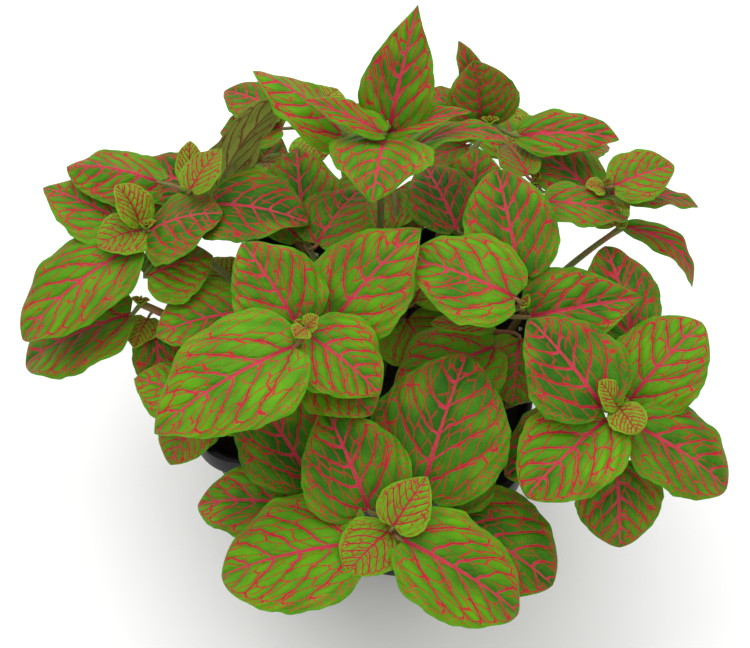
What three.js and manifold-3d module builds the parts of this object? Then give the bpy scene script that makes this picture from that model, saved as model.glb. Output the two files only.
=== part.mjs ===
// Potted nerve plant: a square plastic nursery pot filled with soil, and the leafy stems that grow in it.
// Millimetres, +Z up. The origin is the middle of the pot's underside, and -Y is the front.
import * as THREE from "three";
import { mergeVertices } from "three/addons/utils/BufferGeometryUtils.js";
import Module from "manifold-3d";

const wasm = await Module();
wasm.setup();

// Driving dimensions of the pot
const potSide = 105; // across the rim, flat to flat
const potHeight = 90;
const potBaseSide = 69;
const potWall = 1.3;
const rimHeight = 8.5; // the upright band under the lip
const rimStep = 2.2; // how far the band stands out from the body
const rimWall = 2.1;
const edgeBevel = 0.7;
const cornerShare = 0.286; // corner radius over half the side
const cornerSteps = 4;
const drainCount = 8;
const drainRadius = 4;
const drainSides = 8;
const drainCut = 3.9; // length of the pin that cuts a drain hole
const drainReach = 24; // from the middle of the base to each drain hole

// Driving dimensions of the soil
const soilTop = 80;
const soilEdgeDrop = 2.5; // the surface falls this much from the middle to the wall
const soilShoulder = 4; // width of the steeper strip along the wall
const shoulderDrop = 0.33; // share of that fall that lies inside the strip's inner edge
const fitGap = 0.35;

// Driving dimensions of the leafy stems
const stemRadius = 1.5;
const stemSides = 5;
const stemSteps = 6;
const stemPlaces = 4; // places of its curve that a stem passes through
const stemDepth = 13; // how far a stem stands in its hole
const upperRootShare = 0.4; // the upper place of the straight part in the soil, as a share of that depth
const leanShare = 0.25; // how far a stem has leant out where it bends
const climbShare = 0.8; // how far it has climbed there
const rimClearance = 9; // the bend is at least this far above the rim
const holeRadius = 2.7;
const holeSpare = 1; // a hole goes this much deeper than its stem
const budRadius = 1.7;
const weldReach = 1e-4; // corners nearer to each other than this are one corner
const joinTolerance = 0.03; // slivers thinner than this are cleared where a leaf joins its stem

// Driving dimensions of the leaves
const petioleRadius = 0.9;
const petioleTaper = 0.9;
const petioleLooks = 13; // places along a stem where a petiole may leave it
const fallCost = 0.6; // a petiole that falls to its blade counts as longer by this much a millimetre
const climbNeed = 2; // a petiole that climbs less than this counts as falling
const bladeThickness = 0.8;
const longBlade = 27; // blades longer than this have the most rows
const youngBlade = 14; // blades shorter than this are the youngest at the tip
const longRows = [0.09, 0.33, 0.6, 0.86]; // shares of the length
const middleRows = [0.12, 0.48, 0.82];
const youngRows = [0.2, 0.7];
const grownAcross = [-1, -0.5, 0, 0.5, 1]; // shares of the half width
const youngAcross = [-1, 0, 1];
const curlShare = 0.55; // how much of the fold the margin gives back
const curlDrop = 0.1;

// The outline of every blade: half its width grows with t ** footPower and falls with (1 - t) **
// pointPower, where t runs from the foot of the blade to its point.
const footPower = 0.42;
const pointPower = 0.86;
const lobeShare = 0.07; // how far the base of a blade reaches back on each side, as a share of its length
const lobeCurve = 1.5;
const lobeFade = 4;

// Each leafy stem: where its tip is, where it leaves the soil, and its leaves from the youngest pair
// down. A leaf is [foot x, foot y, foot z, heading, rise, length, width, roll, arch, fold]: the foot
// of the blade is measured from the tip of the stem; heading and rise, in degrees, point from the foot
// to the point of the blade; roll turns the blade about that line; arch is how high the midrib bows
// above it; fold is the slope of the halves.
const leafyStems = [
  {
    name: "leafy_stem_front",
    tip: [17, -76, 104],
    root: [12, -34],
    leaves: [
      [1.5, -4.5, 9, 61, 26, 17.5, 17, 4, 1, 0.3],
      [0, -3, 3.5, 236, -7, 18, 20, 0, 1, 0.3],
      [-7.5, 4.5, 1.5, 126, 27, 34, 34, -3, 2, 0.3],
      [5, -7.5, 7, 348, -26, 41, 34, 2, 2.5, 0.25],
      [7, 15.5, -2.5, 80, 25, 44.5, 44, -2, 2.5, 0.25],
      [-7.5, -6.5, 0.5, 194, -18, 44.5, 40, -1, 2.5, 0.25],
    ],
  },
  {
    name: "leafy_stem_front_left_low",
    tip: [-8, -59, 95],
    root: [-13, -34],
    leaves: [
      [-3.5, 1, 0.5, 137, 21, 39, 33, 6, 2, 0.25],
      [-5.5, -7, -3, 181, -12, 32.5, 29, 4, 2, 0.25],
      [1.5, -1, -3, 325, -12, 12, 18, -5, 0.5, 0.25],
    ],
  },
  {
    name: "leafy_stem_front_right_low",
    tip: [31, -63, 95],
    root: [29, -36],
    leaves: [
      [2, 2, -5, 336, -6, 37, 36, 4, 2.5, 0.25],
      [0.5, 3, 0.5, 72, 13, 23.5, 24, -2, 1.5, 0.25],
    ],
  },
  {
    name: "leafy_stem_middle_left",
    tip: [-17, -31, 136],
    root: [-12, -18],
    leaves: [
      [1.5, -3.5, 5, 37, 37, 5, 7, -3, 0, 0.4],
      [1.5, -6, 7.5, 241, 4, 4.5, 7, -5, 0, 0.4],
      [-3, 4, -5, 138, 26, 30.5, 30, -7, 2, 0.3],
      [2, -4, 1.5, 335, -18, 27.5, 31, -3, 1.5, 0.25],
      [7, 10.5, -9, 49, 30, 38.5, 36, 1, 2, 0.25],
      [-1, -10.5, 4, 216, -18, 48, 40, -2, 3.5, 0.25],
      [4.5, -6, -10, 328, -9, 23, 28, -5, 1, 0.25],
    ],
  },
  {
    name: "leafy_stem_left_inner",
    tip: [-40, -9, 116],
    root: [-28, -8],
    leaves: [
      [-2.5, 0.5, -7.5, 205, -4, 28.5, 34, 5, 1.5, 0.25],
      [3.5, -1, -4.5, 337, -13, 16, 26, -6, 1, 0.25],
      [-1.5, 1, -11, 272, -16, 23, 28, 6, 1.5, 0.25],
    ],
  },
  {
    name: "leafy_stem_left",
    tip: [-78, 12, 119],
    root: [-38, 7],
    leaves: [
      [0, 0, -1.5, 234, 7, 16, 15, -4, 0.5, 0.5],
      [-2, -0.5, 1.5, 110, 48, 14, 14, -1, 0.5, 0.5],
      [1.5, -0.9, 0.5, 10, 23, 24, 28, -6, 2, -0.2],
      [-6, 4.5, -7.5, 160, 1, 37, 30, 5, 1.5, 0.25],
      [-3.5, -6, -3.5, 221, -25, 47, 33, 1, 3.5, 0.25],
      [3.5, -15, -6, 30, 5, 22, 27, 0, 1.5, -0.25],
      [28, -2.5, -21, 144, 4, 14, 16, 4, 1, 0.25],
    ],
  },
  {
    name: "leafy_stem_left_low",
    tip: [-77, -6, 102],
    root: [-36, -16],
    leaves: [
      [1, 1, -9, 262, -5, 12, 13, 6, 0.5, 0.3],
      [-4, -2, -4.5, 199, -27, 41.5, 33, 0, 2.5, 0.25],
      [5, -3.5, -9.5, 287, -31, 23, 17, 6, 1.5, 0.25],
    ],
  },
  {
    name: "leafy_stem_left_back",
    tip: [-67, 27, 122],
    root: [-36, 23],
    leaves: [
      [2.5, -6.5, 8.5, 64, 19, 17, 14, -7, 1, 0.3],
      [-1.5, 6, -3.5, 102, 33, 14.5, 10, -7, 0.5, 0.3],
      [8.5, -4.4, 0, 352, 6, 33.5, 36, -6, 2, 0.25],
      [-12, 5.5, -4, 180, 4, 31.5, 24, -3, 3, -0.6],
      [6, 6.5, -8.5, 50, 38, 43, 24, -90, 4, 0.3],
    ],
  },
  {
    name: "leafy_stem_back_top",
    tip: [-6, 43, 145],
    root: [-4, 25],
    leaves: [
      [2, 2, 1.5, 81, 48, 38.5, 22.5, 5, 1.5, 0.25],
      [1.5, -6.5, 2.5, 272, 8, 29, 33, 0, 3, 0.2],
      [0.5, -6.5, 6, 176, 20, 27, 12, 2, 1, 0.5],
      [1.5, 0.5, -1.5, 14, 19, 27.5, 10, -4, 1, 0.5],
      [-12.5, -3.5, 0, 162, 24, 34.5, 22, 8, 3, -0.5],
      [9.5, 0.5, -7, 12, -3, 35, 16, -22, 4.5, 0.3],
    ],
  },
  {
    name: "leafy_stem_middle_right",
    tip: [46, -6, 128],
    root: [27, -1],
    leaves: [
      [-3, -1.5, 6, 168, 5, 36.5, 34, -2, 2, 0.25],
      [-3, 12.5, 0, 112, 26, 34.5, 30, -1, 2, 0.3],
      [2.5, 3, -8, 20, 3, 36.5, 28, 27, 2, 0.25],
      [-9, 0.5, -11.5, 193, 6, 19.5, 9, -6, 1, 0.3],
      [-7.5, -3.5, -18, 212, -15, 36, 35, 5, 2, 0.25],
      [0, 1, -18, 272, -18, 21.5, 28, 4, 1, 0.25],
    ],
  },
  {
    name: "leafy_stem_middle_back_low",
    tip: [24, 32, 112],
    root: [19, 10],
    leaves: [
      [0, 5, -3.5, 93, 27, 29, 27, -3, 1.5, 0.25],
      [-3, -4.5, 8.5, 119, -3, 31, 24, -3, 1.5, 0.25],
      [4.5, -5.5, 2, 358, -3, 20, 26, 3, 1, 0.25],
    ],
  },
  {
    name: "leafy_stem_right_inner",
    tip: [43, 57, 114],
    root: [31, 26],
    leaves: [
      [5.5, -17.5, 11.5, 3, -10, 26.5, 21, -8, 2, 0.2],
      [-3, -3, 7, 119, -12, 19, 14, 4, 1, 0.3],
      [4, 4.5, -8, 53, -8, 14, 18, 1, 1, 0.25],
    ],
  },
  {
    name: "leafy_stem_right",
    tip: [78, -28, 115],
    root: [38, -17],
    leaves: [
      [-0.5, -3, 4, 118, 30, 10, 10.5, 1, 0.5, 0.4],
      [0.5, -2.5, 3.5, 285, 3, 12.5, 12.5, 5, 0.5, 0.4],
      [-4.5, -6.5, 7, 139, 16, 35, 34, -4, 2, 0.3],
      [4, 7, -7, 51, 27, 33, 31, 3, 2, 0.25],
      [-2.5, -8, 3, 232, -12, 34, 32, -1, 2, 0.25],
      [6.5, -4.5, -3.5, 344, -22, 34, 32, -3, 2, 0.25],
      [2.5, -15, -10, 283, -38, 25, 27, 0, 1.5, 0.25],
      [-6, -9, -5.5, 210, -12, 29, 34, 4, 1.5, 0.25],
    ],
  },
  {
    name: "leafy_stem_right_low",
    tip: [84, 6, 101],
    root: [35, 7],
    leaves: [
      [-3.5, -1, 7, 112, 11, 32.5, 24, 2, 2, 0.25],
      [0, 5, -8, 80, 1, 16, 19, -5, 1, 0.25],
      [-5.5, -0.5, -2.5, 165, -5, 16.5, 24, 3, 1, 0.25],
    ],
  },
  {
    name: "leafy_stem_right_back",
    tip: [65.5, 52, 122],
    root: [35, 34],
    leaves: [
      [1, 7, -9.5, 325, -2, 10.5, 7, 4, 0.5, 0.4],
      [0, -3, 2.5, 191, 20, 6.5, 8, 3, 0.5, 0.4],
      [2.5, -2.5, -0.5, 9, -8, 29.5, 17, -20, 2, 0.2],
      [3, -4.5, 6.5, 28, 8, 21, 20, 8, 1, 0.3],
      [-3.5, 6.5, -10, 148, 7, 31, 24, 0, 1.5, 0.25],
    ],
  },
  {
    name: "leafy_stem_back_right",
    tip: [25, 72, 124],
    root: [11, 40],
    leaves: [
      [-4.5, 2.5, -2, 111, 58, 20.5, 20, 4, 1.5, 0.85],
      [-5, 6, -3, 125, 56, 26, 12, 8, 1.5, 0.5],
      [-5.5, 3.5, -7, 151, 11, 21.5, 18, 0, 1.5, 0.3],
      [11, -3, -1, 5, 4, 32.5, 19, 5, 2, 0.3],
      [-7, -1.5, -10.5, 216, -8, 20.5, 20, 4, 1, 0.2],
    ],
  },
  {
    name: "leafy_stem_right_back_drooping",
    tip: [73, 47, 109],
    root: [40, 16],
    leaves: [
      [2, 6.5, -7.5, 339, -27, 30, 11, 1, 9, 0.3],
      [-1.5, 6.5, -6.5, 129, 1, 10, 14, -1, 0.5, 0.3],
    ],
  },
  {
    name: "leafy_stem_middle_low",
    tip: [-27, 18, 115],
    root: [-15, 6],
    leaves: [
      [-1.5, 5.5, -5, 106, 16, 34, 30, -3, 2, 0.25],
      [5, -5, 6.5, 67, 6, 24.5, 26, -7, 1.5, 0.25],
    ],
  },
  {
    name: "leafy_stem_centre_back",
    tip: [-5, 56, 108],
    root: [5, 21],
    leaves: [
      [-1, 0, -5, 239, -8, 20.5, 32, 3, 1, 0.25],
      [0.5, 3, -9, 303, -8, 19.5, 28, 5, 1, 0.25],
      [-5.5, 6, -7.5, 141, -1, 18, 20, -3, 1, 0.25],
    ],
  },
  {
    name: "leafy_stem_back_left",
    tip: [-41, 76, 112],
    root: [-16, 37],
    leaves: [
      [-4.5, -5.5, 4.5, 156, -4, 25, 24, 5, 1.5, 0.25],
      [6.5, -5.5, 8, 65, 2, 13.5, 20, 1, 0.5, 0.25],
      [-4, -9.5, 2.5, 182, -13, 22.5, 20, -6, 1, 0.25],
      [6, -13.5, 5, 307, -4, 11.5, 18, 6, 0.5, 0.25],
    ],
  },
  {
    name: "leafy_stem_centre",
    tip: [7, 4, 105],
    root: [2, -5],
    leaves: [
      [-2, -4.5, 10, 125, 7, 16, 28, -4, 1, 0.25],
      [1.5, -1, -4, 315, -16, 20, 28, 5, 1, 0.25],
      [-3, -1, -12.5, 248, 0, 12, 28, 2, 1, 0.25],
      [3.5, 2, 2, 72, 9, 17, 26, 0, 1, 0.25],
    ],
  },
  {
    name: "leafy_stem_front_left_rim",
    tip: [-47, -38, 100],
    root: [-37, -34],
    leaves: [
      [-3, 0.5, -6.5, 249, -19, 20, 20, 1, 1, 0.25],
      [-4, 2, -3.5, 168, 0, 23, 25, 1, 1, 0.25],
      [2, -2.5, -1, 332, -9, 13, 15, -2, 1, 0.25],
    ],
  },
  {
    name: "leafy_stem_rear_left",
    tip: [-65, 60, 97],
    root: [-33, 40],
    leaves: [
      [12, -2, -2, 119, 28, 16, 11, 7, 0.5, 0.3],
      [14, -1.5, 7.5, 340, 23, 16.5, 11, -5, 0.5, 0.3],
      [10, -2.5, -10, 92, 13, 30, 25, -4, 2, 0.25],
      [-8.5, -1.5, -6, 208, -7, 37.5, 27, 0, 2.5, 0.25],
      [-4.5, -12, 1, 162, -6, 28, 24, -6, 2, 0.25],
    ],
  },
  {
    name: "leafy_stem_rear",
    tip: [-11, 81, 98],
    root: [-1, 36],
    leaves: [
      [7, 3.5, -8, 0, 24, 14, 11, -4, 0.5, 0.3],
      [6, -6, -2.5, 263, 27, 10.5, 11, 4, 0.5, 0.3],
      [4, -3, -0.5, 96, -5, 33.5, 26, 4, 2, 0.25],
      [-1, 3.5, 7, 350, 6, 34.5, 25, 3, 2.5, 0.25],
      [-8, -2, -9, 84, -8, 36.5, 30, 4, 2.5, 0.25],
    ],
  },
  {
    name: "leafy_stem_rear_right",
    tip: [37, 86, 100],
    root: [20, 33],
    leaves: [
      [-7.5, -8, 7.5, 6, 25, 13.5, 11, -7, 0.5, 0.3],
      [5.5, 9.5, -5, 160, 21, 13.5, 11, -3, 0.5, 0.3],
      [0, 7, -10, 145, -3, 33.5, 27, 5, 2, 0.25],
      [9, -0.5, -1, 35, -18, 26, 21, -3, 2.5, 0.25],
    ],
  },
];

const materials = {
  pot: new THREE.MeshStandardMaterial({ color: 0x1d1d21, roughness: 0.45, metalness: 0 }),
  soil: new THREE.MeshStandardMaterial({ color: 0x2e2119, roughness: 0.95, metalness: 0 }),
  leaves: new THREE.MeshStandardMaterial({ color: 0x5a9420, roughness: 0.5, metalness: 0 }),
};

const radians = THREE.MathUtils.degToRad;

// A closed three.js geometry as a solid that can be joined and cut.
function solidFrom(geometry) {
  const bare = geometry.clone();
  bare.deleteAttribute("normal");
  bare.deleteAttribute("uv");
  const merged = mergeVertices(bare, weldReach);
  return new wasm.Manifold(
    new wasm.Mesh({
      numProp: 3,
      vertProperties: new Float32Array(merged.attributes.position.array),
      triVerts: new Uint32Array(merged.index.array),
    }),
  );
}

function geometryFrom(solid) {
  const mesh = solid.getMesh();
  const geometry = new THREE.BufferGeometry();
  geometry.setAttribute("position", new THREE.BufferAttribute(mesh.vertProperties, 3));
  geometry.setIndex(new THREE.BufferAttribute(mesh.triVerts, 1));
  geometry.computeVertexNormals();
  return geometry;
}

function geometryOf(points, triangles) {
  const geometry = new THREE.BufferGeometry();
  geometry.setAttribute("position", new THREE.Float32BufferAttribute(points.flat(), 3));
  geometry.setIndex(triangles.flat());
  return geometry;
}

// The corners of a square with round corners, anticlockwise, at one height.
function roundedSquare(half, z) {
  const radius = half * cornerShare;
  const straight = half - radius;
  const ring = [];
  for (let corner = 0; corner < 4; corner++) {
    const middle = radians(45 + 90 * corner);
    const centreX = Math.SQRT2 * straight * Math.cos(middle);
    const centreY = Math.SQRT2 * straight * Math.sin(middle);
    for (let step = 0; step <= cornerSteps; step++) {
      const angle = radians(90 * (corner + step / cornerSteps));
      ring.push([centreX + radius * Math.cos(angle), centreY + radius * Math.sin(angle), z]);
    }
  }
  return ring;
}

// A closed solid turned like a lathe piece, but round a square. The profile is a list of [half side,
// height] that starts on the axis under the piece, climbs its outside and comes back to the axis.
function squareTurned(profile) {
  const points = [[0, 0, profile[0][1]]];
  const triangles = [];
  const rings = profile.slice(1, -1);
  rings.forEach(([half, z]) => points.push(...roundedSquare(half, z)));
  const count = 4 * (cornerSteps + 1);
  const last = points.length;
  points.push([0, 0, profile[profile.length - 1][1]]);
  for (let i = 0; i < count; i++) {
    const next = (i + 1) % count;
    triangles.push([0, 1 + next, 1 + i]);
    for (let ring = 0; ring < rings.length - 1; ring++) {
      const low = 1 + ring * count;
      const high = low + count;
      triangles.push([low + i, low + next, high + next], [low + i, high + next, high + i]);
    }
    const top = 1 + (rings.length - 1) * count;
    triangles.push([top + i, top + next, last]);
  }
  return geometryOf(points, triangles);
}

// An upright pin, used to cut holes.
function upright(radius, height, sides, x, y, z) {
  const pin = new THREE.CylinderGeometry(radius, radius, height, sides);
  pin.rotateX(Math.PI / 2);
  pin.translate(x, y, z + height / 2);
  return solidFrom(pin);
}

// Half the outside of the pot's body at a height, and the same for its inside.
const bandFoot = potHeight - rimHeight;
const bodyTopHalf = potSide / 2 - rimStep;
const bodyBaseHalf = potBaseSide / 2;
const bodyHalf = (z) => bodyBaseHalf + ((bodyTopHalf - bodyBaseHalf) * z) / bandFoot;

function makePot() {
  const half = potSide / 2;
  const profile = [
    [0, 0],
    [bodyBaseHalf - edgeBevel, 0],
    [bodyHalf(edgeBevel), edgeBevel],
    [bodyTopHalf, bandFoot],
    [half - edgeBevel, bandFoot],
    [half, bandFoot + edgeBevel],
    [half, potHeight - edgeBevel],
    [half - edgeBevel, potHeight],
    [half - rimWall + edgeBevel, potHeight],
    [half - rimWall, potHeight - edgeBevel],
    [half - rimWall, bandFoot + rimWall],
    [bodyTopHalf - potWall, bandFoot - edgeBevel],
    [bodyHalf(potWall) - potWall, potWall],
    [0, potWall],
  ];
  let pot = solidFrom(squareTurned(profile));
  for (let i = 0; i < drainCount; i++) {
    const angle = radians((360 * (i + 0.5)) / drainCount);
    const x = drainReach * Math.cos(angle);
    const y = drainReach * Math.sin(angle);
    pot = pot.subtract(upright(drainRadius, drainCut, drainSides, x, y, -potWall));
  }
  return geometryFrom(pot);
}

// The soil, with a hole for each stem.
function makeSoil() {
  const edgeTop = soilTop - soilEdgeDrop;
  const foot = potWall + fitGap;
  const inside = (z) => bodyHalf(z) - potWall - fitGap;
  const profile = [
    [0, foot],
    [inside(foot), foot],
    [inside(edgeTop), edgeTop],
    [inside(edgeTop) - soilShoulder, soilTop - shoulderDrop * soilEdgeDrop],
    [0, soilTop],
  ];
  const holeFoot = soilTop - stemDepth - holeSpare;
  let soil = solidFrom(squareTurned(profile));
  for (const { root } of leafyStems) {
    const [x, y] = root;
    soil = soil.subtract(upright(holeRadius, potHeight - holeFoot, stemSides, x, y, holeFoot));
  }
  return geometryFrom(soil);
}

// The curve of a stem above the soil: it climbs first, then leans out to its tip over the rim.
function stemCurve({ tip, root }) {
  const foot = new THREE.Vector3(root[0], root[1], soilTop);
  const end = new THREE.Vector3(...tip);
  const bend = foot.clone().lerp(end, leanShare);
  bend.z = Math.max(foot.z + climbShare * (end.z - foot.z), potHeight + rimClearance);
  return new THREE.QuadraticBezierCurve3(foot, bend, end);
}

// A bar with flat sides along a curve.
function bar(curve, radius, sides, steps) {
  const section = new THREE.Shape();
  for (let i = 0; i < sides; i++) {
    const angle = (2 * Math.PI * i) / sides;
    const x = radius * Math.cos(angle);
    const y = radius * Math.sin(angle);
    if (i === 0) section.moveTo(x, y);
    else section.lineTo(x, y);
  }
  section.closePath();
  return new THREE.ExtrudeGeometry(section, { steps, extrudePath: curve });
}

const bladePeak = footPower / (footPower + pointPower);
const peakValue = bladePeak ** footPower * (1 - bladePeak) ** pointPower;
const bladeOutline = (t) => (t ** footPower * (1 - t) ** pointPower) / peakValue;

// The turn that brings a blade from its own axes (point along +X, upper face to +Z) to its place on
// the plant.
function bladeTurn(heading, rise, roll) {
  const turn = new THREE.Matrix4().makeRotationZ(radians(heading));
  turn.multiply(new THREE.Matrix4().makeRotationY(radians(-rise)));
  return turn.multiply(new THREE.Matrix4().makeRotationX(radians(roll)));
}

// Where a leaf's petiole leaves its stem: the nearest place that isn't above the foot of the blade.
function petioleStart(curve, foot) {
  let best = null;
  let bestCost = Infinity;
  for (let i = 0; i <= petioleLooks; i++) {
    const place = curve.getPoint(i / petioleLooks);
    const cost = place.distanceTo(foot) + fallCost * Math.max(place.z - foot.z + climbNeed, 0);
    if (cost < bestCost) {
      bestCost = cost;
      best = place;
    }
  }
  return best;
}

function bladeRows(length) {
  if (length > longBlade) return longRows;
  return length > youngBlade ? middleRows : youngRows;
}

// The corner of the four-sided petiole that a place of the first blade row grows from: 0 and 2 are its
// sides, 1 is its top and 3 its underside.
function petioleCorner([u, face]) {
  if (Math.abs(u) === 1) return u + 1;
  return face > 0 ? 1 : 3;
}

// One leaf as a closed solid: a four-sided petiole that starts inside the stem, then the rows of the
// blade, each with the same places on its upper and lower face, then the point.
function makeLeaf([, , , heading, rise, length, width, roll, arch, fold], foot, curve) {
  const turn = bladeTurn(heading, rise, roll);
  const start = petioleStart(curve, foot);
  const along = foot.clone().sub(start).normalize();
  const side = new THREE.Vector3(0, 1, 0).applyMatrix4(turn);
  const upper = along.clone().cross(side).normalize();
  const points = [];
  const triangles = [];
  const addPoint = (vector) => points.push(vector.toArray()) - 1;

  const petioleRing = (middle, radius) =>
    [
      [side, -radius],
      [upper, radius],
      [side, radius],
      [upper, -radius],
    ].map(([way, reach]) => addPoint(middle.clone().addScaledVector(way, reach)));

  const across = length > youngBlade ? grownAcross : youngAcross;
  const places = [...across.map((u) => [u, 1]), ...across.toReversed().map((u) => [u, -1])];
  const bladePoint = (t, [u, face]) => {
    const v = (u * width * bladeOutline(t)) / 2;
    const away = Math.abs(v);
    const bow = 4 * arch * t * (1 - t);
    const section = fold * away - ((curlShare * fold + curlDrop) * away * away) / (width / 2);
    const lobe = lobeShare * length * Math.abs(u) ** lobeCurve * (1 - t) ** lobeFade;
    const place = new THREE.Vector3(t * length - lobe, v, bow + section + (face * bladeThickness) / 2);
    return addPoint(place.applyMatrix4(turn).add(foot));
  };

  // Quads on the lower face are split along the same diagonal as those on the upper face above them.
  const join = (near, far) => {
    far.forEach((a, i) => {
      const next = (i + 1) % far.length;
      if (near[i] === near[next]) {
        triangles.push([near[i], a, far[next]]);
      } else if (i < far.length / 2) {
        triangles.push([near[i], a, far[next]], [near[i], far[next], near[next]]);
      } else {
        triangles.push([near[i], a, near[next]], [a, far[next], near[next]]);
      }
    });
  };

  const first = petioleRing(start, petioleRadius);
  const second = petioleRing(foot, petioleRadius * petioleTaper);
  const rings = bladeRows(length).map((t) => places.map((place) => bladePoint(t, place)));
  triangles.push([first[0], first[1], first[2]], [first[0], first[2], first[3]]);
  join(first, second);
  join(
    places.map((place) => second[petioleCorner(place)]),
    rings[0],
  );
  for (let row = 1; row < rings.length; row++) join(rings[row - 1], rings[row]);
  const point = addPoint(new THREE.Vector3(length, 0, 0).applyMatrix4(turn).add(foot));
  const last = rings[rings.length - 1];
  last.forEach((a, i) => triangles.push([last[(i + 1) % last.length], a, point]));
  return geometryOf(points, triangles);
}

// A stem with its bud and all its leaves, as one solid.
function makeLeafyStem(plan) {
  const curve = stemCurve(plan);
  const [x, y] = plan.root;
  const path = [
    new THREE.Vector3(x, y, soilTop - stemDepth),
    new THREE.Vector3(x, y, soilTop - upperRootShare * stemDepth),
    ...curve.getPoints(stemPlaces),
  ];
  let plant = solidFrom(bar(new THREE.CatmullRomCurve3(path), stemRadius, stemSides, stemSteps));
  const tip = new THREE.Vector3(...plan.tip);
  const bud = new THREE.OctahedronGeometry(budRadius, 0);
  bud.translate(tip.x, tip.y, tip.z);
  plant = plant.add(solidFrom(bud));
  for (const leaf of plan.leaves) {
    const foot = new THREE.Vector3(leaf[0], leaf[1], leaf[2]).add(tip);
    plant = plant.add(solidFrom(makeLeaf(leaf, foot, curve)));
  }
  return geometryFrom(plant.simplify(joinTolerance));
}

const plantInPot = new THREE.Group();

function addPiece(name, geometry, material) {
  const piece = new THREE.Mesh(geometry, material);
  piece.name = name;
  plantInPot.add(piece);
}

addPiece("pot", makePot(), materials.pot);
addPiece("soil", makeSoil(), materials.soil);
for (const plan of leafyStems) addPiece(plan.name, makeLeafyStem(plan), materials.leaves);

export default plantInPot;
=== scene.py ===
# Potted nerve plant in Blender: leafy stems with veined blades, potting mix and a square nursery pot.
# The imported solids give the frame; lengths in the tables are millimetres, and everything made is in metres.
import bpy
import math
import numpy as np
from collections import namedtuple
from functools import partial
from mathutils import Matrix, Vector


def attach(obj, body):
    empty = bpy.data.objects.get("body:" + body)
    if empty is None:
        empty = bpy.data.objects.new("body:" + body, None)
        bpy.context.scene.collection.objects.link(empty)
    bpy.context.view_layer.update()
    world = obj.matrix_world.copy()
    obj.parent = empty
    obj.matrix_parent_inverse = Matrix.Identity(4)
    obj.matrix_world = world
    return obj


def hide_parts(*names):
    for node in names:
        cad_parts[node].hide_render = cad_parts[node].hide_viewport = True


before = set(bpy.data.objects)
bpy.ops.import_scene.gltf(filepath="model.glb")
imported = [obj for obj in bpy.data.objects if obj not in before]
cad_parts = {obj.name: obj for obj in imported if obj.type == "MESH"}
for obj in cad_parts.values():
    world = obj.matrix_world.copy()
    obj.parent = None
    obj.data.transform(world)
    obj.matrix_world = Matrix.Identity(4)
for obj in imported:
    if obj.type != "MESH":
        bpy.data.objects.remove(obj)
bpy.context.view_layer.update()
mm = 0.001


def srgb(red, green, blue):  # a screen colour as the linear colour that shaders take
    values = []
    for channel in (red, green, blue):
        c = channel / 255
        values.append(c / 12.92 if c <= 0.04045 else ((c + 0.055) / 1.055) ** 2.4)
    return (*values, 1.0)


def addNode(tree, kind, inputs=(), **settings):  # inputs go by place, or by name or number in a dictionary
    node = tree.nodes.new(kind)
    for name, value in settings.items():
        setattr(node, name, value)
    for key, value in inputs.items() if isinstance(inputs, dict) else enumerate(inputs):
        if isinstance(value, bpy.types.NodeSocket):
            tree.links.new(value, node.inputs[key])
        else:
            node.inputs[key].default_value = value
    return node


def calc(tree, operation, *values):
    return addNode(tree, "ShaderNodeMath", values, operation=operation).outputs[0]


def remap(tree, value, source, target=(0.0, 1.0), smooth=False):  # from one range to another
    kind = "SMOOTHSTEP" if smooth else "LINEAR"
    return addNode(tree, "ShaderNodeMapRange", (value, *source, *target), interpolation_type=kind).outputs[0]


def mixColour(tree, share, first, second):
    return addNode(tree, "ShaderNodeMix", {0: share, 6: first, 7: second}, data_type="RGBA").outputs[2]


def splitVector(tree, vector):
    return addNode(tree, "ShaderNodeSeparateXYZ", (vector,)).outputs


def readAttribute(tree, name):
    return addNode(tree, "ShaderNodeAttribute", attribute_name=name).outputs["Vector"]


def noise(tree, vector, scale, detail, roughness=0.5):
    inputs = {"Vector": vector, "Scale": scale, "Detail": detail, "Roughness": roughness}
    return addNode(tree, "ShaderNodeTexNoise", inputs).outputs["Fac"]


def objectPlace(tree, scale):
    place = addNode(tree, "ShaderNodeTexCoord").outputs["Object"]
    return addNode(tree, "ShaderNodeMapping", {"Vector": place, "Scale": (scale, scale, scale)}).outputs[0]


def newMaterial(name, specular, roughness=0.5):
    material = bpy.data.materials.new(name)
    material.use_nodes = True
    shader = material.node_tree.nodes["Principled BSDF"]
    shader.inputs["Roughness"].default_value = roughness
    shader.inputs["Specular IOR Level"].default_value = specular
    return material, material.node_tree, shader


def finishSurface(tree, shader, colour, relief, bump, roughness=None):  # bump: depth in metres and strength
    tree.links.new(colour, shader.inputs["Base Color"])
    if roughness is not None:
        tree.links.new(roughness, shader.inputs["Roughness"])
    inputs = {"Height": relief, "Distance": bump[0], "Strength": bump[1]}
    tree.links.new(addNode(tree, "ShaderNodeBump", inputs).outputs[0], shader.inputs["Normal"])


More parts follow.
